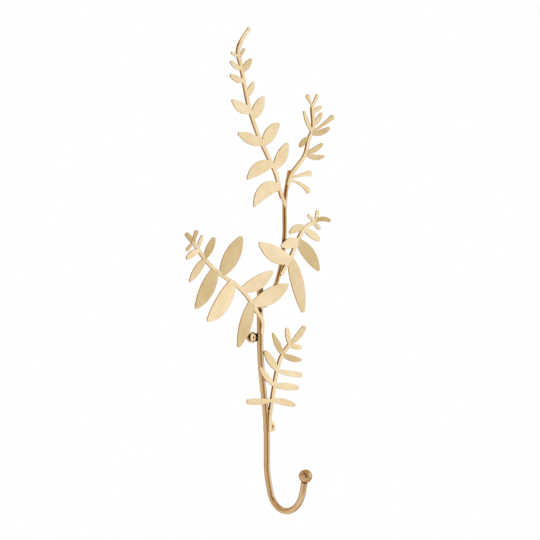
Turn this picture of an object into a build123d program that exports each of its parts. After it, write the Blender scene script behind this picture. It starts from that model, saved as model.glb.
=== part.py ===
from build123d import *
import os
from math import atan2, degrees, radians, tan

# A wall hook: a bent round bar with a ball end, two screwed wall tabs, and five sprays of sheet leaves.
# It is drawn as it hangs on the wall: x to the right, y up, z forward from the wall, in millimetres.
# The origin lies on the wall, midway between the two screws.

# Stem: a round bar, swayed sideways between the screws and bent forward into the hook
stem_diameter = 6.0
stem_top = 89.0
stem_end_round = 1.6
stem_offset = 4.3
sway_top = 20.0
sway_bottom = -38.0
lean_start = -76.0
lean_radius = 70.0
lean_angle = 15.0
lean_run = 9.4
throat_radius = 23.8
throat_angle = 150.0
arm_run = 14.0

# Ball on the end of the hook
ball_diameter = 12.7
ball_bore_depth = 4.0

# Wall tabs, and the depth that the stem is let into them
tab_thickness = 1.5
tab_diameter = 11.0
tab_neck_width = 7.5
tab_neck_fillet = 1.5
tab_past_stem = 0.9
tab_seat = 0.3

# Screws: how far each stands beside the stem and above or below the middle
screw_beside_stem = 7.7
screw_height = 42.0
screw_diameter = 4.0
screw_length = 12.0
screw_point = 4.0
shoulder_diameter = 4.4
shoulder_past_tab = 0.3
screw_hole_clearance = 0.25
head_diameter = 7.7
head_height = 2.2
head_edge = 0.5
recess_span = 4.4
recess_width = 1.1
recess_depth = 1.3

# Branch rod: welded along the right side of the stem, its points measured from the weld's lower end
branch_diameter = 4.2
branch_end_round = 1.2
branch_weld_height = 70.0
branch_seat = 0.2
branch_points = [(0, 0), (0, 8), (13, 18), (21, 39), (25.4, 67), (24.6, 102), (31.6, 129)]

# Sheet for the sprays, and how far each is let over the rods behind it
sheet_thickness = 1.2
strip_width = 3.8
strip_past_leaf = 1.0
sheet_seat = 0.25

# Square stiffening wire soldered behind each strip
wire_width = 2.2

# Share of the shorter run that a bend in a strip or rod takes up
bend_share = 0.45

# Leaf outlines: the root's width, the middle of each side as its place along the leaf and the width there,
# and where the rounded tip begins, as its distance back from the tip and its width. The middle's place is
# a share of the leaf's length, and all the rest are shares of the leaf's width.
BLADE = (0.5, (0.46, 1.0), (0.07, 0.24))
DROP = (0.3, (0.48, 1.0), (0.07, 0.24))
OBLONG = (0.34, (0.57, 1.0), (0.15, 0.5))
CLUB = (0.36, (0.64, 0.94), (0.28, 0.74))
FINGER = (0.8, (0.5, 0.94), (0.3, 0.9))
PETAL = (0.24, (0.62, 1.0), (0.2, 0.56))
SPOON = (0.42, (0.5, 0.56), (0.5, 1.0))

# Each spray: where its strip's points lie from its root on the rod, where its wire starts and ends,
# and its leaves, the last of which ends the strip. A leaf has its place along the strip, its turn from
# the strip to the left, length, width, outline, sideways bow and how far its face looks to the right.
top_left = {
    "place": 101.0,
    "points": [(-1, 2), (-7, 14), (-12, 32), (-34, 66), (-46.5, 94), (-55, 130), (-61.5, 149), (-44, 169.5)],
    "wire": (8.0, 184.0),
    "leaves": [
        (19.8, 106, 37, 14, BLADE, -6, 0),
        (37.8, -66, 29.6, 13, DROP, -1, 0),
        (42.8, 82, 34, 12.4, BLADE, -3, 0),
        (63.8, -76, 29, 13, DROP, 1, 0),
        (65.8, 42, 31, 10.5, BLADE, 0.5, 0),
        (91.8, -58, 25, 12, DROP, 0, 0),
        (98.8, 45, 25.5, 10, BLADE, 1.5, 0),
        (113.8, -47, 16, 7, BLADE, -0.5, 0),
        (127.8, 57, 18.5, 6, OBLONG, 1, 0),
        (137.8, -56, 16, 7, BLADE, -0.5, -6),
        (139.8, 47, 16, 5, OBLONG, 1, 0),
        (150.8, -55, 11, 3.2, FINGER, 0, -4),
        (151.8, 52, 10.5, 3, FINGER, 0, 0),
        (159.8, -23, 23.5, 4.2, FINGER, 1.6, 0),
    ],
}
top_right = {
    "place": 122.0,
    "points": [(-0.2, 1.5), (2.3, 9.5), (22.1, 29.4), (24.9, 42.9), (31.9, 54.4), (29.9, 76.4)],
    "wire": (5.0, 82.5),
    "leaves": [
        (3.5, -97, 27.6, 5.6, SPOON, 2.8, 0),
        (5.5, -59, 28.4, 5.6, SPOON, 0.6, 0),
        (36.3, -68, 20.8, 5.2, PETAL, -2.2, -9),
        (37.3, -39, 20.5, 5.2, PETAL, -1.4, -9),
        (52.5, 155, 14.2, 5.6, PETAL, -1, -14),
        (56.5, -42, 21, 5.6, PETAL, -1.6, -10),
        (58.5, 54, 22.5, 4.6, OBLONG, 1, 0),
        (58.5, -31, 29.2, 5.2, SPOON, -0.6, -7),
        (64.5, -30, 16, 5, PETAL, -0.4, -4),
        (77.5, -67, 12.5, 4.2, PETAL, 0, 0),
        (84, -36, 12.5, 3.8, FINGER, -0.3, 0),
        (84, 27, 12.5, 5, SPOON, 0.8, 0),
    ],
}
mid_left = {
    "place": 46.5,
    "points": [(-0.3, 0), (1.1, 10), (-23.7, 41.5), (-62.2, 59.5), (-92.7, 93.5)],
    "wire": (21.0, 119.0),
    "leaves": [
        (31, -106, 48, 15.7, DROP, -1.5, 0),
        (33, 121, 44.5, 13.4, BLADE, 0.5, -7),
        (50, -118, 42, 13.5, DROP, -2, 0),
        (63, 75, 49, 18, BLADE, 3, 4),
        (79, -93, 42.5, 16.6, DROP, -0.5, -9),
        (88, 93.5, 42, 15.4, BLADE, 1.5, -7.5),
        (104, 94, 28, 8, BLADE, -0.5, -4),
        (105, -73, 22, 7.6, OBLONG, -0.5, -12),
        (115, 73, 19, 6.2, OBLONG, -1, 6),
        (117, -65, 14, 4.4, OBLONG, 0, 0),
        (125, 93, 11, 3.4, FINGER, -0.5, -8),
        (126, -63, 11.5, 4, FINGER, 0, -12),
        (124, 1, 13, 5.2, FINGER, 0, -12),
    ],
}
mid_right = {
    "place": 38.0,
    "points": [(1, 0), (11, 13), (29, 43.5), (45, 50)],
    "wire": (5.0, 60.0),
    "leaves": [
        (16, 101, 41, 15.5, BLADE, 2, 0),
        (18, -130, 53.5, 14.7, BLADE, 1.5, -4),
        (37, 133, 22, 10, BLADE, 0, 0),
        (37, -110, 36.5, 13, BLADE, 1.5, -10),
        (51, -71, 22, 7.5, OBLONG, 0, 0),
        (53, 158, 20, 7.2, OBLONG, -2, -4),
        (64.5, -64, 10, 4.4, FINGER, 0, -4),
        (66, 121, 11, 3.6, FINGER, 0, 0),
        (67.5, 56, 10.5, 4.4, FINGER, 0, 0),
        (67, -22, 15.5, 4.8, CLUB, 2.2, -16),
    ],
}
fern = {
    "place": -45.4,
    "points": [(0.7, 0), (0.9, 13.4), (9.2, 54.4), (15.7, 70.9), (43.2, 96.9)],
    "wire": (19.0, 90.0),
    "leaves": [
        (28.4, 103, 32, 6.4, CLUB, 0.5, 0),
        (28.4, -89, 29, 6.4, OBLONG, 0.8, 0),
        (42, 58, 26, 6.2, OBLONG, 0.5, 0),
        (42, -83, 30.5, 7, OBLONG, 0.6, 0),
        (57, 58, 24.5, 8.3, OBLONG, 0, 0),
        (57, -81, 31.5, 6, CLUB, -0.5, 0),
        (73.5, 64, 23.5, 6.2, BLADE, 0.5, -9),
        (73.5, -70, 21, 6, OBLONG, -1, -10),
        (86, 58, 16.5, 6.2, CLUB, 0.6, 0),
        (86, -54, 15.5, 5, OBLONG, -0.5, 0),
        (87, 1, 24, 6.6, CLUB, -1, -6),
    ],
}

# Places worked out from the sizes above
stem_radius = stem_diameter / 2
stem_depth = tab_thickness + stem_radius - tab_seat
branch_radius = branch_diameter / 2
branch_depth = stem_depth + stem_radius - branch_radius
branch_foot = -stem_offset + stem_radius + branch_radius - branch_seat
sheet_back = stem_depth + stem_radius - sheet_seat
screw_side = stem_offset + screw_beside_stem


def smooth_path(points):
    """Straight runs through the points, joined by the largest tangent arcs that they have room for."""
    corners = [Vector(*point) for point in points]
    radii = []
    for before, corner, after in zip(corners, corners[1:], corners[2:]):
        run_in = corner - before
        run_out = after - corner
        turn = radians(run_in.get_angle(run_out))
        radii.append(bend_share * min(run_in.length, run_out.length) / tan(turn / 2))
    return FilletPolyline(*corners, radius=radii)


def round_bar(path, diameter):
    """A round bar of this diameter along the path."""
    section = Plane(path @ 0, z_dir=path % 0) * Circle(diameter / 2)
    return sweep(section, path=path)


def stem_line():
    """The stem's middle line, from its upper end down and round to the end inside the ball."""
    sway = smooth_path([
        (-stem_offset, stem_top),
        (-stem_offset, sway_top),
        (stem_offset, sway_bottom),
        (stem_offset, lean_start),
    ])
    drop = Vector(0, -1)
    lean = JernArc((0, lean_start), drop, lean_radius, lean_angle)
    lower = Line(lean @ 1, (lean @ 1) + (lean % 1) * lean_run)
    throat = JernArc(lower @ 1, lower % 1, throat_radius, throat_angle)
    arm = Line(throat @ 1, (throat @ 1) + (throat % 1) * arm_run)
    side_view = Plane((stem_offset, 0, stem_depth), x_dir=(0, 0, 1), z_dir=(-1, 0, 0))
    hook = [side_view * run for run in (lean, lower, throat, arm)]
    return Wire([Pos(0, 0, stem_depth) * edge for edge in sway.edges()] + [run.edge() for run in hook])


def make_stem(line):
    bar = round_bar(line, stem_diameter)
    upper_end = bar.edges().group_by(Axis.Y)[-1]
    return fillet(upper_end, stem_end_round)


def make_ball(line, stem):
    """The ball, bored to take the end of the stem."""
    centre = (line @ 1) + (line % 1) * (ball_diameter / 2 - ball_bore_depth)
    return Plane(centre, z_dir=line % 1) * Sphere(ball_diameter / 2) - stem


def branch_line():
    return Pos(branch_foot, branch_weld_height, branch_depth) * smooth_path(branch_points)


def make_branch(line, stem):
    """The branch rod, let into the side of the stem along its weld."""
    rod = round_bar(line, branch_diameter)
    upper_end = rod.edges().group_by(Axis.Y)[-1]
    return fillet(upper_end, branch_end_round) - stem


def make_tab(side, stem):
    """A disc for the screw, with a neck that runs in behind the stem. Side is 1 on the right, -1 on the left."""
    neck_length = screw_beside_stem + tab_past_stem
    outline = Circle(tab_diameter / 2) + Pos(-neck_length / 2, 0) * Rectangle(neck_length, tab_neck_width)
    waist = outline.vertices().group_by(Axis.X)[1]
    outline = fillet(waist, tab_neck_fillet) - Circle(shoulder_diameter / 2 + screw_hole_clearance)
    turned = Rot(0, 0, 0 if side > 0 else 180)
    return Pos(side * screw_side, -side * screw_height) * turned * extrude(outline, tab_thickness) - stem


def make_screw():
    """A pan-head screw with a cross recess, its head seated at height 0 and its point downwards."""
    shank = screw_diameter / 2
    shoulder = shoulder_diameter / 2
    shoulder_end = -(tab_thickness + shoulder_past_tab)
    head = head_diameter / 2
    profile = Polyline(
        (0, -screw_length), (shank, screw_point - screw_length),
        (shank, shoulder_end), (shoulder, shoulder_end), (shoulder, 0), (head, 0),
        (head, head_height - head_edge), (head - head_edge, head_height), (0, head_height), close=True,
    )
    bar = Pos(0, 0, head_height - recess_depth / 2) * Box(recess_span, recess_width, recess_depth)
    return revolve(Plane.XZ * make_face(profile), Axis.Z) - bar - Rot(0, 0, 90) * bar


def make_leaf(length, width, outline, bow):
    """One flat leaf along x from its root at the origin, its middle line bowed sideways."""
    root, (middle, middle_width), (tip_back, tip_width) = outline

    def corner(place, share, sign):
        sideways = 4 * bow * (place / length) * (1 - place / length)
        return place, sideways + sign * share * width / 2

    def side(sign):
        return [
            corner(0, root, sign),
            corner(middle * length, middle_width, sign),
            corner(length - tip_back * width, tip_width, sign),
        ]

    left, right = side(1), side(-1)
    edge = [
        ThreePointArc(*right),
        ThreePointArc(right[-1], (length, 0), left[-1]),
        ThreePointArc(*reversed(left)),
        Line(left[0], right[0]),
    ]
    return extrude(make_face(edge), sheet_thickness / 2, both=True)


def spray_line(root, spray):
    """The middle line of a spray's strip, in the sheet's middle plane."""
    middle = sheet_back + sheet_thickness / 2
    return Pos(root.X, root.Y, middle) * smooth_path(spray["points"])


def flat_bar(line, width, thickness):
    """A bar of rectangular section along a line that lies in a plane parallel to the wall."""
    section = Plane(line @ 0, x_dir=(0, 0, 1), z_dir=line % 0) * Rectangle(thickness, width)
    return sweep(section, path=line)


def make_spray(line, spray, rods):
    """A strip with its leaves, let over the fronts of the rods that it crosses."""
    strip_end = strip_past_leaf + max(leaf[0] for leaf in spray["leaves"])
    strip = flat_bar(line.trim(0, strip_end / line.length), strip_width, sheet_thickness)
    tail = Pos(*(line @ 0)) * Cylinder(strip_width / 2, sheet_thickness)
    leaves = []
    for place, turn, length, width, outline, bow, face in spray["leaves"]:
        root = line.position_at(place, PositionMode.LENGTH)
        along = line.tangent_at(place, PositionMode.LENGTH)
        heading = degrees(atan2(along.Y, along.X)) + turn
        leaf = Rot(0, face, 0) * Rot(0, 0, heading) * make_leaf(length, width, outline, bow)
        leaves.append(Pos(*root) * leaf)
    return strip + [tail, *leaves] - rods


def make_wire(line, spray, sheet, rods):
    """The wire behind a strip, flat against the sheet and coped where it meets a rod or a turned leaf."""
    start, end = spray["wire"]
    behind = Pos(0, 0, -(sheet_thickness + wire_width) / 2)
    run = behind * line.trim(start / line.length, end / line.length)
    wire = flat_bar(run, wire_width, wire_width) - sheet - rods
    return wire.solids().sort_by(SortBy.VOLUME)[-1]


def main():
    stem_path = stem_line()
    stem = make_stem(stem_path)
    branch_path = branch_line()
    branch = make_branch(branch_path, stem)
    rods = [stem, branch]
    nodes = {
        "hook_stem": stem,
        "ball_tip": make_ball(stem_path, stem),
        "branch_rod": branch,
        "upper_wall_tab": make_tab(-1, stem),
        "lower_wall_tab": make_tab(1, stem),
    }

    seats = [Pos(side * screw_side, -side * screw_height, tab_thickness) for side in (-1, 1)]
    nodes["wall_screws"] = Compound([seat * make_screw() for seat in seats])

    on_branch = {"top_left": top_left, "top_right": top_right, "mid_right": mid_right}
    roots = {name: branch_path.position_at(spray["place"], PositionMode.LENGTH)
             for name, spray in on_branch.items()}
    roots["mid_left"] = Vector(-stem_offset, mid_left["place"])
    roots["fern"] = Vector(stem_offset, fern["place"])
    sprays = {**on_branch, "mid_left": mid_left, "fern": fern}
    for name, spray in sprays.items():
        line = spray_line(roots[name], spray)
        sheet = make_spray(line, spray, rods)
        nodes[f"{name}_spray"] = sheet
        nodes[f"{name}_wire"] = make_wire(line, spray, sheet, rods)

    # From the wall's own view to the part's frame: y up becomes Z, and forward becomes -Y
    hung = Plane((0, 0, 0), x_dir=(1, 0, 0), z_dir=(0, -1, 0))
    os.makedirs("parts", exist_ok=True)
    for name, solid in nodes.items():
        export_step(hung * solid, f"parts/{name}.step")


main()
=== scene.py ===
# %% [markdown]
# # A botanical wall hook in satin brass
#
# A round bar is bent to a J, and five sprays of leaves cut from sheet climb up it. The solids come from
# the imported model, in metres, with the wall at Y = 0 and the front towards -Y. This lesson dresses them:
# it rounds their edges, threads the screws, gives each metal its finish, and sets up the light.

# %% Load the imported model
from math import cos, degrees, pi, radians, sin

import bmesh
import bpy
from mathutils import Matrix, Vector


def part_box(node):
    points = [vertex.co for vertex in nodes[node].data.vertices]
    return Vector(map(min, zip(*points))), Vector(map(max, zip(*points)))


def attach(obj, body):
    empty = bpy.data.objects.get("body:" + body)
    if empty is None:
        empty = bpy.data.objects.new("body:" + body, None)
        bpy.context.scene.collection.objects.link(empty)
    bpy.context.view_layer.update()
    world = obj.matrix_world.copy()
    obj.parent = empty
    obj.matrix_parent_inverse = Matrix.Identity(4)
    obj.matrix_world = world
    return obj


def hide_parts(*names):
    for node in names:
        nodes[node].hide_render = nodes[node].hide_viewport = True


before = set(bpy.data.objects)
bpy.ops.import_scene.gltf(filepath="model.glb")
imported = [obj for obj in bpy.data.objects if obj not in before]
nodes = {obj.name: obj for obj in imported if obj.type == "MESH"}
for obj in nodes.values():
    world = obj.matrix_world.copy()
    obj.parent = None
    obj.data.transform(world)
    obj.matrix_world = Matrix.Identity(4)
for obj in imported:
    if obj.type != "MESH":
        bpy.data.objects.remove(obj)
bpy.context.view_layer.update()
MM = 0.001
print("nodes:", ", ".join(sorted(nodes)))

# %% [markdown]
# ## The camera
#
# The photograph looks at the hook from its left through a long lens, almost level with it. So the camera
# stands well back, and the lens is worked out from the width of the frame at the hook. An orthographic
# camera would be close too, but a long lens keeps the slight narrowing of a real picture.

# %% Set up the camera
CAMERA_AZIMUTH = -41.0
CAMERA_ELEVATION = 0.4
CAMERA_DISTANCE = 8.0
FRAME_WIDTH = 0.5076
AIM_RIGHT = 0.0089
AIM_UP = 0.1052
NEAR_CLIP = 0.05
FAR_CLIP = 50


def direction(azimuth, elevation):
    """The way from the hook to a place round it, from two angles in degrees: 0, 0 is straight in front."""
    a, e = radians(azimuth), radians(elevation)
    return Vector((sin(a) * cos(e), -cos(a) * cos(e), sin(e)))


away = direction(CAMERA_AZIMUTH, CAMERA_ELEVATION)
rightwards = direction(CAMERA_AZIMUTH + 90, 0)
aim = rightwards * AIM_RIGHT + Vector((0, 0, AIM_UP))

camera = bpy.data.objects.new("camera", bpy.data.cameras.new("camera"))
bpy.context.scene.collection.objects.link(camera)
camera.location = aim + away * CAMERA_DISTANCE
camera.rotation_mode = "QUATERNION"
camera.rotation_quaternion = (-away).to_track_quat("-Z", "Y")
camera.data.lens = camera.data.sensor_width * CAMERA_DISTANCE / FRAME_WIDTH
camera.data.clip_start = NEAR_CLIP
camera.data.clip_end = FAR_CLIP
bpy.context.scene.camera = camera
print(f"lens {camera.data.lens:.0f} mm")

# %% [markdown]
# ## Colours and nodes
#
# Colours are written as on a screen, in sRGB hex, and Blender's sockets want linear light, so one function
# turns the first into the second. One more adds a node, with its settings and links, and every material
# below is built with it.

# %% Make the two helpers for materials
def linear(hex_colour):
    """The linear colour of an sRGB hex value such as #c9a26b."""
    channels = [int(hex_colour[i:i + 2], 16) / 255 for i in (1, 3, 5)]
    return [c / 12.92 if c <= 0.04045 else ((c + 0.055) / 1.055) ** 2.4 for c in channels] + [1.0]


def add_node(tree, kind, inputs=None, **settings):
    """Adds a node. A value in inputs is set on its socket; a socket, or a list of them, is linked to it."""
    node = tree.nodes.new(kind)
    for name, value in settings.items():
        setattr(node, name, value)
    for name, value in (inputs or {}).items():
        sockets = value if isinstance(value, list) else [value]
        if isinstance(sockets[0], bpy.types.NodeSocket):
            for socket in sockets:
                tree.links.new(socket, node.inputs[name])
        else:
            node.inputs[name].default_value = value
    return node


print("linear of #808080:", round(linear("#808080")[0], 3))

# %% [markdown]
# ## The plated metals
#
# Every piece is steel with a brass plating, satin on the sheet and bronzed on the bars. A metal's colour is
# the colour of its reflection, so the base colour is what it shows when it faces a white wall. One function
# makes them all: clouds drift the tint, as plating does, small cells of grit speckle it, and a fine grain
# roughens the gloss and the surface. The real grit is about 0.2 mm, too fine for the picture, so grit and
# grain are drawn coarser, to show as they do there.

# %% Make the plated metals
GRIT_MM = 0.7
# Noise runs from 0 to 1 but keeps near its middle, so tint and gloss are spread over these parts of it
TINT_FROM, TINT_TO = 0.36, 0.64
GRAIN_FROM, GRAIN_TO = 0.3, 0.7
GLOSS_SPREAD = 0.04


def plated_metal(name, light, dark, roughness, grain_mm, grain_depth_mm, cloud_mm, grit_share=0.1):
    """Plated metal whose tint drifts from light to dark, with a grain in its gloss and its surface."""
    material = bpy.data.materials.new(name)
    material.use_nodes = True
    tree = material.node_tree
    tree.nodes.clear()
    place = add_node(tree, "ShaderNodeTexCoord").outputs["Object"]
    clouds = add_node(tree, "ShaderNodeTexNoise", {
        "Vector": place, "Scale": 1 / (cloud_mm * MM), "Detail": 2.0, "Roughness": 0.5})
    grain = add_node(tree, "ShaderNodeTexNoise", {
        "Vector": place, "Scale": 1 / (grain_mm * MM), "Detail": 3.0, "Roughness": 0.6})
    grit = add_node(tree, "ShaderNodeTexVoronoi", {"Vector": place, "Scale": 1 / (GRIT_MM * MM)})
    mottle = add_node(tree, "ShaderNodeMix", {
        "Factor": grit_share, "A": clouds.outputs["Fac"], "B": grit.outputs["Color"]}, data_type="FLOAT")
    tint = add_node(tree, "ShaderNodeValToRGB", {"Fac": mottle.outputs["Result"]})
    for stop, position, colour in zip(tint.color_ramp.elements, (TINT_FROM, TINT_TO), (dark, light)):
        stop.position = position
        stop.color = linear(colour)
    gloss = add_node(tree, "ShaderNodeMapRange", {
        "Value": grain.outputs["Fac"], "From Min": GRAIN_FROM, "From Max": GRAIN_TO,
        "To Min": roughness - GLOSS_SPREAD, "To Max": roughness + GLOSS_SPREAD})
    bump = add_node(tree, "ShaderNodeBump", {
        "Height": grain.outputs["Fac"], "Strength": 1.0, "Distance": grain_depth_mm * MM})
    shader = add_node(tree, "ShaderNodeBsdfPrincipled", {
        "Base Color": tint.outputs["Color"], "Metallic": 1.0,
        "Roughness": gloss.outputs["Result"], "Normal": bump.outputs["Normal"]})
    add_node(tree, "ShaderNodeOutputMaterial", {"Surface": shader.outputs["BSDF"]})
    return material


# Satin sheet: pale, with a sandy sparkle that shows most where a leaf turns from the light
satin_brass = plated_metal(
    "satin_brass_sheet", "#fbebcb", "#ecd7ab", roughness=0.38,
    grain_mm=1.1, grain_depth_mm=0.085, cloud_mm=22, grit_share=0.32)
# Sheared edges of the sheet: a browner tone, painted shade for these narrow side faces
sheared_edge_shade = plated_metal(
    "sheared_brass_edge_shade", "#c4965a", "#b0834a", roughness=0.42,
    grain_mm=2.0, grain_depth_mm=0.005, cloud_mm=12)
# Drawn bar: smooth, with a deeper tone and a clear streak of light along it
bronzed_bar = plated_metal(
    "bronzed_brass_bar", "#e6d0af", "#dcc4a1", roughness=0.25,
    grain_mm=1.2, grain_depth_mm=0.002, cloud_mm=16)
# Branch: thinner and drawn smoother, and browner from the heat of the sprays soldered along it
bronzed_branch = plated_metal(
    "bronzed_brass_branch", "#e3c79c", "#d9bb8e", roughness=0.16,
    grain_mm=1.2, grain_depth_mm=0.002, cloud_mm=16)
# Ball: turned, and bronzed a little deeper than the bar
bronzed_ball = plated_metal(
    "bronzed_brass_ball", "#d5ba96", "#caae88", roughness=0.22,
    grain_mm=1.2, grain_depth_mm=0.002, cloud_mm=16)
# Soldered wire: its brown tone is painted shade, as the wire sits in the shadow behind its strip
wire_with_painted_shade = plated_metal(
    "brass_wire_painted_shade", "#b5803f", "#a06e36", roughness=0.4,
    grain_mm=1.2, grain_depth_mm=0.003, cloud_mm=12)
# Tabs' faces: bright gold as stamped, and the next step paints shade on them beside the bar
tab_face_shaded = plated_metal(
    "brass_tab_painted_shade", "#faeac4", "#f0dcae", roughness=0.25,
    grain_mm=1.2, grain_depth_mm=0.003, cloud_mm=10)
# Screws: the same plating, polished, so they are the brightest metal here
bright_brass = plated_metal(
    "bright_brass_screw", "#fff2cc", "#fae6b8", roughness=0.24,
    grain_mm=1.0, grain_depth_mm=0.003, cloud_mm=8)
# The side of a screw's head: painted dark, as painted shade where it stands out of the tab
head_side_shade = plated_metal(
    "brass_head_side_painted_shade", "#5e3b1a", "#4a2d12", roughness=0.4,
    grain_mm=1.0, grain_depth_mm=0.003, cloud_mm=4)
# The recess of a screw: painted a warm orange, as painted shade inside the cross
recess_shade = plated_metal(
    "brass_recess_painted_shade", "#fab450", "#e29a3c", roughness=0.4,
    grain_mm=1.0, grain_depth_mm=0.004, cloud_mm=4)
print("metals:", ", ".join(m.name for m in bpy.data.materials if "brass" in m.name))

# %% [markdown]
# ## Painted shade by the joints
#
# The hook is welded and soldered together, and shade falls in the hollows where its parts meet. That shade is
# painted as dark tones on the tint, fading to plain plating, and the ball's joint gets a thin dark ring. A
# tone could be painted on a texture, but a distance is simpler and needs no picture: each is drawn on a
# distance, and mixed in before the colour reaches the shader.

# %% Make the helpers for painted shade and dark rings
# The Mix node has sockets of several kinds under one name, so its colour sockets are called by number
COLOUR_A, COLOUR_B, COLOUR_RESULT = 6, 7, 2


def darken_tint(metal, hex_colour, unmarked):
    """Lays a dark tone over a metal's tint: painted shade, or the ball's thin dark ring. Its factor, a socket
    of its tree, is 0 on the dark tone and 1 off it.
    """
    tree = metal.node_tree
    shader = next(node for node in tree.nodes if node.type == "BSDF_PRINCIPLED")
    plain_tint = shader.inputs["Base Color"].links[0].from_socket
    darkened = add_node(tree, "ShaderNodeMix", {
        "Factor": unmarked, COLOUR_A: linear(hex_colour), COLOUR_B: plain_tint}, data_type="RGBA")
    tree.links.new(darkened.outputs[COLOUR_RESULT], shader.inputs["Base Color"])


def darken_round(metal, hex_colour, middle, dark_mm, clear_mm):
    """A round dark tone, for painted shade or a dark ring, dark as far as dark_mm from its middle and gone at
    clear_mm.
    """
    tree = metal.node_tree
    place = add_node(tree, "ShaderNodeTexCoord").outputs["Object"]
    apart = add_node(tree, "ShaderNodeVectorMath", {0: place, 1: middle}, operation="DISTANCE")
    unmarked = add_node(tree, "ShaderNodeMapRange", {
        "Value": apart.outputs["Value"], "From Min": dark_mm * MM, "From Max": clear_mm * MM})
    darken_tint(metal, hex_colour, unmarked.outputs["Result"])
    print(metal.name, "stained at", [round(v / MM, 1) for v in middle], "mm")


# %% Paint shade on the tabs' faces beside the bar
# The origin lies midway between the tabs, so a distance from X = 0 serves both
# Painted shade and painted reflection: the tabs' faces darken near the bar, which shades them and shows dark
# in them
TAB_SHADE_TINT = "#3d2a14"
TAB_SHADE_DARK_MM = 8.2
TAB_SHADE_CLEAR_MM = 11.2
tree = tab_face_shaded.node_tree
place = add_node(tree, "ShaderNodeTexCoord").outputs["Object"]
from_middle = add_node(tree, "ShaderNodeSeparateXYZ", {"Vector": place})
across = add_node(tree, "ShaderNodeMath", {0: from_middle.outputs["X"]}, operation="ABSOLUTE")
cleared = add_node(tree, "ShaderNodeMapRange", {
    "Value": across.outputs[0], "From Min": TAB_SHADE_DARK_MM * MM, "From Max": TAB_SHADE_CLEAR_MM * MM})
darken_tint(tab_face_shaded, TAB_SHADE_TINT, cleared.outputs["Result"])
print("heat tint from", TAB_SHADE_DARK_MM, "to", TAB_SHADE_CLEAR_MM, "mm")

# %% Ring the ball's joint
# The bar enters the ball from below, leaning forward, and a thin dark ring is drawn round it
RING_TINT = "#6b4a24"
RING_DARK_MM = 3.02
RING_CLEAR_MM = 3.3
BALL_RADIUS = 6.35 * MM
JOINT_FROM_CENTRE = 5.6 * MM
ARM_TILT = radians(15)
ball_low, ball_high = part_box("ball_tip")
ball_centre = Vector((
    (ball_low[0] + ball_high[0]) / 2, ball_low[1] + BALL_RADIUS, ball_high[2] - BALL_RADIUS))
arm_end = ball_centre - Vector((0, -sin(ARM_TILT), cos(ARM_TILT))) * JOINT_FROM_CENTRE
darken_round(bronzed_bar, RING_TINT, arm_end, RING_DARK_MM, RING_CLEAR_MM)

# %% Paint shade at the feet of two wires
# Both wires climb to the right, so a wire's foot is at the lower left of its box
# Painted shade: a wire's foot lies deep in the shadow between its strip and the bars, so it is painted near
# black
WIRE_FOOT_SHADE = "#2e1b0a"
WIRE_FOOT_SHADES = {"fern_wire": (9.0, 15.0), "mid_right_wire": (26.0, 55.0)}  # dark as far as, gone at, in mm
for node_name, (dark_mm, clear_mm) in WIRE_FOOT_SHADES.items():
    wire_low, wire_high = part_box(node_name)
    wire_foot = Vector((wire_low[0], (wire_low[1] + wire_high[1]) / 2, wire_low[2]))
    darken_round(wire_with_painted_shade, WIRE_FOOT_SHADE, wire_foot, dark_mm, clear_mm)

# %% Paint shade on the branch where a leaf's tip rests on it, and on the bar near its top and below where the branch is welded
# Metal, colour, middle of the painted shade, how far it is dark, and where it ends, in mm
JOINT_SHADES = [
    (bronzed_branch, "#4a3016", (24.9, -5.1, 129.6), 3.0, 6.2),
    (bronzed_bar, "#5c4222", (-1.6, -7.0, 86.0), 2.6, 5.2),
    (bronzed_bar, "#5c4222", (-6.0, -6.8, 67.0), 0.8, 2.5),
]
for metal, hex_colour, middle_mm, dark_mm, clear_mm in JOINT_SHADES:
    darken_round(metal, hex_colour, Vector(middle_mm) * MM, dark_mm, clear_mm)

# %% [markdown]
# ## Cleaned copies of the solids
#
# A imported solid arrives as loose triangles. A copy with its doubles merged can be shaded smoothly and have
# its edges rounded. Flat faces are dissolved into single polygons first, because an edge that crosses a
# flat face would be bevelled too.

# %% Make the helpers for dressed copies
MERGE_MM = 0.0005
FLAT_ANGLE = radians(0.4)


def merged_copy(node_name, piece_name):
    """A new object with the node's shape, its doubles merged and its flat faces dissolved."""
    mesh = nodes[node_name].data.copy()
    mesh.name = piece_name
    mesh.materials.clear()
    shape = bmesh.new()
    shape.from_mesh(mesh)
    bmesh.ops.remove_doubles(shape, verts=shape.verts, dist=MERGE_MM * MM)
    bmesh.ops.dissolve_degenerate(shape, edges=shape.edges, dist=MERGE_MM * MM)
    bmesh.ops.dissolve_limit(shape, angle_limit=FLAT_ANGLE, verts=shape.verts, edges=shape.edges)
    shape.to_mesh(mesh)
    shape.free()
    if "custom_normal" in mesh.attributes:
        mesh.attributes.remove(mesh.attributes["custom_normal"])
    piece = bpy.data.objects.new(piece_name, mesh)
    bpy.context.scene.collection.objects.link(piece)
    return piece


def put_on(piece, node_name):
    """Lets a piece stand for a node, whose own shape is hidden, and ride on the hook's body."""
    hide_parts(node_name)
    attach(piece, "root")


print("doubles merged within", MERGE_MM, "mm")

# %% Make the helper for rounded edges
# A bevel that runs into a corner of several edges throws spikes, so only clear runs of edge are rounded
CREASE_ANGLE = radians(32)
RUN_ANGLE = radians(35)
SHORT_EDGE_MM = 0.35
BEVEL_SEGMENTS = 2


def is_clear_run(vertex):
    """Whether a sharp edge runs straight on through a vertex, with no other sharp edge near it."""
    sharp = [e for e in vertex.link_edges if e.calc_face_angle(0) > CREASE_ANGLE]
    if len(sharp) != 2 or min(e.calc_length() for e in sharp) < SHORT_EDGE_MM * MM:
        return False
    first, second = (e.other_vert(vertex).co - vertex.co for e in sharp)
    return first.angle(-second) < RUN_ANGLE


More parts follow.
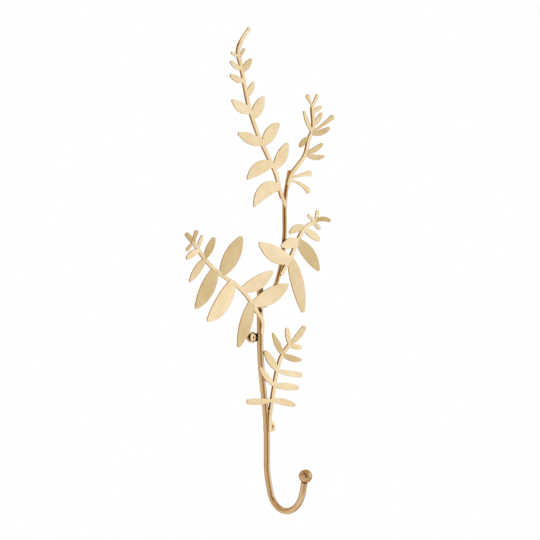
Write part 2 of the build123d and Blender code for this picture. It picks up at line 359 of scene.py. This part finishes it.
def round_edges(piece, width_mm):
    """Rounds the long sharp edges of a flat piece, short of the corners where several meet."""
    shape = bmesh.new()
    shape.from_mesh(piece.data)
    weight = shape.edges.layers.float.new("bevel_weight_edge")
    clear = {vertex for vertex in shape.verts if is_clear_run(vertex)}
    rounded = [e for e in shape.edges
               if e.calc_face_angle(0) > CREASE_ANGLE and clear.issuperset(e.verts)]
    for edge in rounded:
        edge[weight] = 1.0
    shape.to_mesh(piece.data)
    shape.free()
    bevel = piece.modifiers.new("rounded edges", "BEVEL")
    bevel.width = width_mm * MM
    bevel.segments = BEVEL_SEGMENTS
    bevel.limit_method = "WEIGHT"
    bevel.use_clamp_overlap = False
    piece.data.shade_flat()
    return len(rounded)


print(f"an edge is sharp past {degrees(CREASE_ANGLE):.0f} degrees")

# %% [markdown]
# ## The sprays
#
# Each spray is one sheet cutting: a strip with its leaves. Its faces are satin, and its sheared edges are
# painted browner, as painted shade for the narrow side faces. The edges are deburred, and that rounding is
# what draws the thin rim of light round each leaf. A square wire is soldered behind each strip to stiffen it.

# %% Dress the five sprays
SPRAYS = ["top_left", "top_right", "mid_left", "mid_right", "fern"]
SHEET_FACE = 0.6  # a face of the sheet points at least this much along Y, and a sheared edge less
DEBURR_MM = 0.18
WIRE_ROUNDING_MM = 0.3

for spray in SPRAYS:
    leaves = merged_copy(f"{spray}_spray", f"{spray}_leaves")
    leaves.data.materials.append(satin_brass)
    leaves.data.materials.append(sheared_edge_shade)
    for face in leaves.data.polygons:
        face.material_index = 0 if abs(face.normal.y) > SHEET_FACE else 1
    rounded = round_edges(leaves, DEBURR_MM)
    put_on(leaves, f"{spray}_spray")
    wire = merged_copy(f"{spray}_wire", f"{spray}_backing_wire")
    wire.data.materials.append(wire_with_painted_shade)
    round_edges(wire, WIRE_ROUNDING_MM)
    put_on(wire, f"{spray}_wire")
    print(spray, len(leaves.data.polygons), "faces,", rounded, "edges rounded")

# %% [markdown]
# ## Bar, branch, ball and tabs
#
# The round pieces have the same plating, smoother on the branch and deeper on the ball. Their imported shapes
# are right, so they only need smooth shading. The tabs are stamped from strip: their edges are rounded in
# the tumbler and match the bar, and their faces carry painted shade beside the bar.

# %% Dress the bar, branch and ball
for node_name, piece_name, metal in [
    ("hook_stem", "hook_bar", bronzed_bar),
    ("branch_rod", "branch_bar", bronzed_branch),
    ("ball_tip", "ball_end", bronzed_ball),
]:
    piece = merged_copy(node_name, piece_name)
    piece.data.materials.append(metal)
    piece.data.shade_smooth()
    piece.data.set_sharp_from_angle(angle=CREASE_ANGLE)
    put_on(piece, node_name)
    print(piece_name, len(piece.data.polygons), "faces")

# %% Dress the tabs
TAB_ROUNDING_MM = 0.25
TAB_FACE = 0.9  # a tab's front and back point at least this much along Y
for node_name, piece_name in {"upper_wall_tab": "upper_tab", "lower_wall_tab": "lower_tab"}.items():
    tab = merged_copy(node_name, piece_name)
    tab.data.materials.append(bronzed_bar)
    tab.data.materials.append(tab_face_shaded)
    for face in tab.data.polygons:
        face.material_index = 1 if abs(face.normal.y) > TAB_FACE else 0
    round_edges(tab, TAB_ROUNDING_MM)
    tab.modifiers["rounded edges"].material = 0
    put_on(tab, node_name)
    print(piece_name, len(tab.data.polygons), "faces")

# %% [markdown]
# ## The screws
#
# Two pan-head wood screws hold the tabs. A screw is a turned shape with a cross pressed into its head and a
# thread rolled on its core. Geometry Nodes suit it: a straight line swept with a radius that changes along
# it is a turned shape, a spiral swept with a small diamond is a thread, and both screws are instances of
# one. The line runs from the point to the top of the head, and the curve below is the screw's profile. The
# top of the head is polished, and the side of the head and the cross carry painted shade.

# %% Build the node tree of a screw
SCREW_LENGTH = 12.0
HEAD_HEIGHT = 2.2
HEAD_DIAMETER = 7.7
CORE_DIAMETER = 3.1
THREAD_PITCH = 1.5
SCREW_INPUTS = {
    "Screw Length": SCREW_LENGTH,
    "Head Height": HEAD_HEIGHT,
    "Head Diameter": HEAD_DIAMETER,
    "Core Diameter": CORE_DIAMETER,
    "Thread Pitch": THREAD_PITCH,
    "Thread Reach": 0.45,
    "Recess Span": 4.4,
    "Recess Width": 1.1,
    "Recess Depth": 1.3,
}

screw_tree = bpy.data.node_groups.new("pan_head_screws", "GeometryNodeTree")
sockets = screw_tree.interface
sockets.new_socket("Seats", in_out="INPUT", socket_type="NodeSocketGeometry")
identifiers = {}
for input_name in SCREW_INPUTS:
    socket = sockets.new_socket(input_name, in_out="INPUT", socket_type="NodeSocketFloat")
    identifiers[input_name] = socket.identifier
sockets.new_socket("Screws", in_out="OUTPUT", socket_type="NodeSocketGeometry")
given = add_node(screw_tree, "NodeGroupInput").outputs
print("screw inputs:", ", ".join(identifiers))

# %% Draw the profile along the axis
AXIS_STEPS = 143
STRAIGHT_END = -8.0
CORE_RADIUS = CORE_DIAMETER / 2
HEAD_RADIUS = HEAD_DIAMETER / 2
# Heights above the tab's face and radii in mm: point, core, shoulder in the tab's hole, and head
PROFILE = [
    (-SCREW_LENGTH, 0.15), (STRAIGHT_END, CORE_RADIUS), (-1.85, CORE_RADIUS),
    (-1.75, 2.2), (-0.1, 2.2),
    (0.0, 3.6), (0.15, HEAD_RADIUS), (1.5, HEAD_RADIUS),
    (1.8, 3.75), (2.0, 3.5), (2.15, 3.05), (HEAD_HEIGHT, 2.6),
]

below = add_node(screw_tree, "ShaderNodeMath", {0: given["Screw Length"], 1: -1.0}, operation="MULTIPLY")
foot = add_node(screw_tree, "ShaderNodeCombineXYZ", {"Z": below.outputs[0]})
crown = add_node(screw_tree, "ShaderNodeCombineXYZ", {"Z": given["Head Height"]})
axis = add_node(screw_tree, "GeometryNodeCurvePrimitiveLine", {
    "Start": foot.outputs[0], "End": crown.outputs[0]})
steps = add_node(screw_tree, "GeometryNodeResampleCurve", {
    "Curve": axis.outputs[0], "Count": AXIS_STEPS}, mode="COUNT")
along = add_node(screw_tree, "GeometryNodeSplineParameter")
profile = add_node(screw_tree, "ShaderNodeFloatCurve", {"Value": along.outputs["Factor"]})
curve = profile.mapping.curves[0]
for i, (height, radius) in enumerate(PROFILE):
    where = ((height + SCREW_LENGTH) / (SCREW_LENGTH + HEAD_HEIGHT), radius / HEAD_RADIUS)
    if i in (0, len(PROFILE) - 1):
        point = curve.points[0 if i == 0 else len(curve.points) - 1]
        point.location = where
    else:
        point = curve.points.new(*where)
    point.handle_type = "VECTOR"
profile.mapping.update()
print("profile points:", len(curve.points))

# %% Turn the body from its profile
RING_SIDES = 40
diameter = add_node(screw_tree, "ShaderNodeMath", {
    0: profile.outputs["Value"], 1: given["Head Diameter"]}, operation="MULTIPLY")
# The ring is one across, so its scale along the axis is the body's diameter there
ring = add_node(screw_tree, "GeometryNodeCurvePrimitiveCircle", {"Resolution": RING_SIDES, "Radius": 0.5})
body = add_node(screw_tree, "GeometryNodeCurveToMesh", {
    "Curve": steps.outputs[0], "Profile Curve": ring.outputs[0],
    "Scale": diameter.outputs[0], "Fill Caps": True})
print("body of", AXIS_STEPS, "rings with", RING_SIDES, "sides")

# %% Press the cross into the head
SUNK_SHARE = 0.48  # just under half, so that the bar still stands out of the head and cuts through its top


def recess_bar(turn):
    """A bar that cuts one slot of the cross, its faces marked so that they can take another finish."""
    size = add_node(screw_tree, "ShaderNodeCombineXYZ", {
        "X": given["Recess Span"], "Y": given["Recess Width"], "Z": given["Recess Depth"]})
    bar = add_node(screw_tree, "GeometryNodeMeshCube", {"Size": size.outputs[0]})
    sunk = add_node(screw_tree, "ShaderNodeMath", {
        0: given["Recess Depth"], 1: -SUNK_SHARE, 2: given["Head Height"]}, operation="MULTIPLY_ADD")
    place = add_node(screw_tree, "ShaderNodeCombineXYZ", {"Z": sunk.outputs[0]})
    moved = add_node(screw_tree, "GeometryNodeTransform", {
        "Geometry": bar.outputs[0], "Translation": place.outputs[0], "Rotation": (0, 0, turn)})
    marked = add_node(screw_tree, "GeometryNodeStoreNamedAttribute", {
        "Geometry": moved.outputs[0], "Name": "recess", "Value": True}, data_type="BOOLEAN", domain="FACE")
    return marked.outputs[0]


crossed = add_node(screw_tree, "GeometryNodeMeshBoolean", {
    "Mesh 1": body.outputs[0], "Mesh 2": [recess_bar(0), recess_bar(pi / 2)]},
    operation="DIFFERENCE", solver="EXACT")
print("cross recess cut with two bars")

# %% Roll the thread
STRAIGHT_TURNS = 4
POINT_TURNS = 2
TURN_STEPS = 28
TIP_SHARE = 0.3  # the thread's size at the point, as a share of its size on the core
core_radius = add_node(screw_tree, "ShaderNodeMath", {
    0: given["Core Diameter"], 1: 0.5}, operation="MULTIPLY")
diamond = add_node(screw_tree, "GeometryNodeCurvePrimitiveCircle", {
    "Resolution": 4, "Radius": given["Thread Reach"]})


def thread_run(turns, start_share, bottom_mm):
    """A run of thread that climbs from bottom_mm to its turns' height, its radius growing to the core's."""
    height = add_node(screw_tree, "ShaderNodeMath", {
        0: given["Thread Pitch"], 1: turns}, operation="MULTIPLY")
    start = add_node(screw_tree, "ShaderNodeMath", {
        0: core_radius.outputs[0], 1: start_share}, operation="MULTIPLY")
    spiral = add_node(screw_tree, "GeometryNodeCurveSpiral", {
        "Resolution": TURN_STEPS, "Rotations": turns, "Start Radius": start.outputs[0],
        "End Radius": core_radius.outputs[0], "Height": height.outputs[0], "Reverse": True})
    upright = add_node(screw_tree, "GeometryNodeSetCurveNormal", {"Curve": spiral.outputs[0]}, mode="Z_UP")
    share = add_node(screw_tree, "GeometryNodeSplineParameter")
    swell = add_node(screw_tree, "ShaderNodeMapRange", {
        "Value": share.outputs["Factor"], "To Min": start_share, "To Max": 1.0})
    swept = add_node(screw_tree, "GeometryNodeCurveToMesh", {
        "Curve": upright.outputs[0], "Profile Curve": diamond.outputs[0],
        "Scale": swell.outputs["Result"], "Fill Caps": True})
    placed = add_node(screw_tree, "GeometryNodeTransform", {
        "Geometry": swept.outputs[0], "Translation": (0, 0, bottom_mm * MM)})
    return placed.outputs[0]


straight_thread = thread_run(STRAIGHT_TURNS, 1.0, STRAIGHT_END)
point_thread = thread_run(POINT_TURNS, TIP_SHARE, STRAIGHT_END - POINT_TURNS * THREAD_PITCH)
screw = add_node(screw_tree, "GeometryNodeJoinGeometry", {
    "Geometry": [crossed.outputs["Mesh"], straight_thread, point_thread]})
print("thread turns:", STRAIGHT_TURNS + POINT_TURNS)

# %% Set a screw on each seat and give it its finishes
TAB_THICKNESS = 1.5
TOP_FACE = 0.6  # the top of a head points at least this much along Y, and its side less
set_out = add_node(screw_tree, "GeometryNodeInstanceOnPoints", {
    "Points": given["Seats"], "Instance": screw.outputs[0], "Rotation": (pi / 2, 0, 0)})
real = add_node(screw_tree, "GeometryNodeRealizeInstances", {"Geometry": set_out.outputs[0]})
bright = add_node(screw_tree, "GeometryNodeSetMaterial", {
    "Geometry": real.outputs[0], "Material": bright_brass})

facing = add_node(screw_tree, "ShaderNodeSeparateXYZ", {
    "Vector": add_node(screw_tree, "GeometryNodeInputNormal").outputs[0]})
forwards = add_node(screw_tree, "ShaderNodeMath", {0: facing.outputs["Y"]}, operation="ABSOLUTE")
sideways = add_node(screw_tree, "ShaderNodeMath", {
    0: forwards.outputs[0], 1: TOP_FACE}, operation="LESS_THAN")
standing = add_node(screw_tree, "ShaderNodeSeparateXYZ", {
    "Vector": add_node(screw_tree, "GeometryNodeInputPosition").outputs[0]})
proud = add_node(screw_tree, "ShaderNodeMath", {
    0: standing.outputs["Y"], 1: -TAB_THICKNESS * MM}, operation="LESS_THAN")
on_side = add_node(screw_tree, "ShaderNodeMath", {
    0: sideways.outputs[0], 1: proud.outputs[0]}, operation="MULTIPLY")
# The side of a head, where it stands out of the tab, takes painted shade
rimmed = add_node(screw_tree, "GeometryNodeSetMaterial", {
    "Geometry": bright.outputs[0], "Selection": on_side.outputs[0], "Material": head_side_shade})
# The faces of the cross take painted shade
in_recess = add_node(screw_tree, "GeometryNodeInputNamedAttribute", {"Name": "recess"}, data_type="BOOLEAN")
finished = add_node(screw_tree, "GeometryNodeSetMaterial", {
    "Geometry": rimmed.outputs[0], "Selection": in_recess.outputs[0], "Material": recess_shade})
add_node(screw_tree, "NodeGroupOutput", {"Screws": finished.outputs[0]})
print("screw tree:", len(screw_tree.nodes), "nodes")

# %% Make the screws a plain mesh
SCREW_SEATS = [(-12.0, 42.0), (12.0, -42.0)]
seat_mesh = bpy.data.meshes.new("screw_seats")
seat_mesh.from_pydata([(x * MM, -TAB_THICKNESS * MM, z * MM) for x, z in SCREW_SEATS], [], [])
seats = bpy.data.objects.new("screw_seats", seat_mesh)
bpy.context.scene.collection.objects.link(seats)
modifier = seats.modifiers.new("screws", "NODES")
modifier.node_group = screw_tree
for input_name, size in SCREW_INPUTS.items():
    modifier[identifiers[input_name]] = size * MM

evaluated = seats.evaluated_get(bpy.context.evaluated_depsgraph_get())
screw_mesh = bpy.data.meshes.new_from_object(evaluated)
screw_mesh.name = "pan_head_screws"
# The seats have no material, which leaves an empty slot in the mesh
for slot in reversed(range(len(screw_mesh.materials))):
    if screw_mesh.materials[slot] is None:
        screw_mesh.materials.pop(index=slot)
seats.modifiers.remove(modifier)
bpy.data.objects.remove(seats)
screws = bpy.data.objects.new("pan_head_screws", screw_mesh)
bpy.context.scene.collection.objects.link(screws)
screw_mesh.shade_smooth()
screw_mesh.set_sharp_from_angle(angle=CREASE_ANGLE)
put_on(screws, "wall_screws")
print("screws:", len(screw_mesh.polygons), "faces,", [m.name for m in screw_mesh.materials])

# %% [markdown]
# ## Floor and light
#
# The photograph's ground is pure white. The world shows white to the camera and to reflections, and gives a
# gentler light to everything else. Metal shows only what it mirrors, so a studio stands coloured cards round
# it, out of the picture: a dark one by the camera draws the streak down the bars and shades the leaves that
# turn to it, and tan ones on the left, behind and overhead keep the bars' edges from washing out. Low cards
# tint the underside of the bend, and a small flag shades the branch. Only reflections see the cards: the
# camera looks past them, and they cast no light and no shadow. The right stays open and white, level with
# the hook, and the flat leaves mirror that.

# %% Set up the world
scene = bpy.context.scene
scene.view_settings.view_transform = "Standard"
world = bpy.data.worlds.new("white studio")
scene.world = world
world.use_nodes = True
tree = world.node_tree
tree.nodes.clear()
path = add_node(tree, "ShaderNodeLightPath")
seen = add_node(tree, "ShaderNodeMath", {
    0: path.outputs["Is Camera Ray"], 1: path.outputs["Is Glossy Ray"]}, operation="MAXIMUM")
seen = add_node(tree, "ShaderNodeMath", {
    0: seen.outputs[0], 1: path.outputs["Is Transmission Ray"]}, operation="MAXIMUM")
fill = add_node(tree, "ShaderNodeBackground", {"Color": linear("#f2f1ee"), "Strength": 0.95})
white = add_node(tree, "ShaderNodeBackground", {"Color": linear("#ffffff"), "Strength": 1.0})
mixed = add_node(tree, "ShaderNodeMixShader", {
    0: seen.outputs[0], 1: fill.outputs[0], 2: white.outputs[0]})
add_node(tree, "ShaderNodeOutputWorld", {"Surface": mixed.outputs[0]})
print("world:", world.name)

# %% Lay the floor
FLOOR_SIZE = 2.2
FLOOR_BELOW = 0.9


def stage_panel(name, width, height, azimuth, elevation, distance, material):
    """A flat panel that faces the hook."""
    towards = direction(azimuth, elevation)
    mesh = bpy.data.meshes.new(name)
    w, h = width / 2, height / 2
    mesh.from_pydata([(-w, -h, 0), (w, -h, 0), (w, h, 0), (-w, h, 0)], [], [(0, 1, 2, 3)])
    mesh.materials.append(material)
    turn = towards.to_track_quat("Z", "Y").to_matrix().to_4x4()
    mesh.transform(Matrix.Translation(aim + towards * distance) @ turn)
    piece = bpy.data.objects.new(name, mesh)
    scene.collection.objects.link(piece)
    return piece


pale_floor = bpy.data.materials.new("pale_floor")
pale_floor.use_nodes = True
floor_shader = pale_floor.node_tree.nodes["Principled BSDF"]
floor_shader.inputs["Base Color"].default_value = linear("#fbf4e8")
floor_shader.inputs["Roughness"].default_value = 0.8
floor = stage_panel("floor", FLOOR_SIZE, FLOOR_SIZE, 0, -90, FLOOR_BELOW, pale_floor)
print("floor at", round(floor.data.vertices[0].co.z, 3))

# %% Paint the cards
def lit_card(name, hex_colour):
    """A matt card under its own even light, so that it mirrors as the colour written here."""
    material = bpy.data.materials.new(name)
    material.use_nodes = True
    card_tree = material.node_tree
    card_tree.nodes.clear()
    glow = add_node(card_tree, "ShaderNodeEmission", {"Color": linear(hex_colour), "Strength": 1.0})
    add_node(card_tree, "ShaderNodeOutputMaterial", {"Surface": glow.outputs[0]})
    return material


brown_card = lit_card("brown_card", "#6c5036")
sand_card = lit_card("sand_card", "#cbb98b")
tan_card = lit_card("tan_card", "#e6ccb0")
dun_card = lit_card("dun_card", "#cdae8a")
umber_card = lit_card("umber_card", "#d6b58c")
bark_card = lit_card("bark_card", "#82644a")
cream_card = lit_card("cream_card", "#ece0d4")
print("card colours:", ", ".join(m.name for m in bpy.data.materials if m.name.endswith("_card")))

# %% Stand the cards round the hook
# Width and height in metres, azimuth and elevation in degrees, distance in metres, and the card's colour
CARDS = {
    "camera_side_card": (1.35, 5.0, -31, 2, 3.0, brown_card),
    "front_card": (2.5, 5.0, 3, 0, 3.1, sand_card),
    "left_card": (3.4, 5.0, -76, 0, 3.1, tan_card),
    "far_left_card": (3.4, 5.0, -138, 0, 3.0, dun_card),
    "back_card": (4.4, 5.0, 158, 0, 3.0, dun_card),
    "right_rear_card": (1.9, 5.0, 106, 0, 3.1, dun_card),
    "low_back_card": (4.4, 1.7, 158, -27, 2.5, cream_card),
    "low_left_card": (4.0, 1.7, -120, -27, 2.5, cream_card),
    "low_right_card": (3.6, 1.3, 75, -26, 2.5, dun_card),
    "under_right_card": (0.6, 0.6, 81, -66, 0.78, dun_card),
    "overhead_card": (5.0, 5.0, 0, 90, 2.6, umber_card),
    "branch_flag": (0.29, 0.28, -62, 17, 0.3, bark_card),
}
for card_name, (width, height, azimuth, elevation, distance, material) in CARDS.items():
    card = stage_panel(card_name, width, height, azimuth, elevation, distance, material)
    card.visible_camera = False
    card.visible_diffuse = False
    card.visible_shadow = False
print("cards:", ", ".join(CARDS))

# %% Hang the softbox
SOFTBOX_AZIMUTH = 55
SOFTBOX_ELEVATION = -6
SOFTBOX_DISTANCE = 2.2
SOFTBOX_SIZE = 1.0
SOFTBOX_BRIGHTNESS = 0.30  # as it looks, where a white card is 1
lamp = bpy.data.lights.new("key_softbox", "AREA")
lamp.shape = "SQUARE"
lamp.size = SOFTBOX_SIZE
lamp.energy = SOFTBOX_BRIGHTNESS * pi * SOFTBOX_SIZE ** 2
softbox = bpy.data.objects.new("key_softbox", lamp)
scene.collection.objects.link(softbox)
softbox_side = direction(SOFTBOX_AZIMUTH, SOFTBOX_ELEVATION)
softbox.location = aim + softbox_side * SOFTBOX_DISTANCE
softbox.rotation_mode = "QUATERNION"
softbox.rotation_quaternion = softbox_side.to_track_quat("Z", "Y")
print(f"softbox {lamp.energy:.2f} W")
